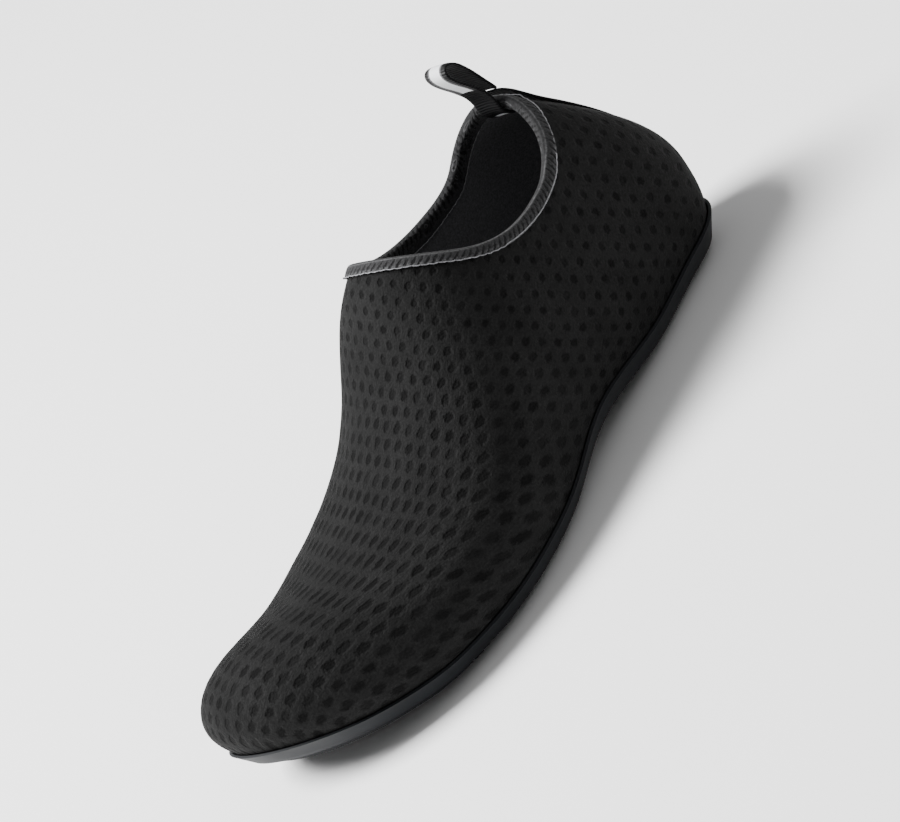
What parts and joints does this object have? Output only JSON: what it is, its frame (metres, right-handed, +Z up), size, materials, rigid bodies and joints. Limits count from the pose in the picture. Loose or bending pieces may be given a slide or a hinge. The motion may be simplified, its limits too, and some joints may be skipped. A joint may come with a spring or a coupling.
{
  "type": "water shoe",
  "caption": "Slip-on water shoe for the left foot: a thin knitted sock upper with a bound collar and a heel pull loop on a thin, flexible lugged rubber sole.",
  "frame": {"origin": "middle of the round heel pad of the tread, on the floor that the sole stands on", "axes": "+X from heel to toe along the shoe, +Y to the outer side of the left foot, +Z up"},
  "size_m": [0.2514, 0.0948, 0.1065],
  "materials": {
    "knit": "matte near-black knit with a raised grain and darker round dots",
    "rubber": "satin blue-black moulded rubber",
    "foam": "matte black cloth over thin foam",
    "binding": "matte dark grey stretch tape",
    "webbing": "ribbed black webbing with a light grey reflective stripe along its middle"
  },
  "bodies": {
    "root": {"outsole": "rubber", "upper": "knit", "insole": "foam", "collar_binding": "binding", "heel_tape": "webbing", "pull_loop": "webbing"}
  },
  "joints": []
}
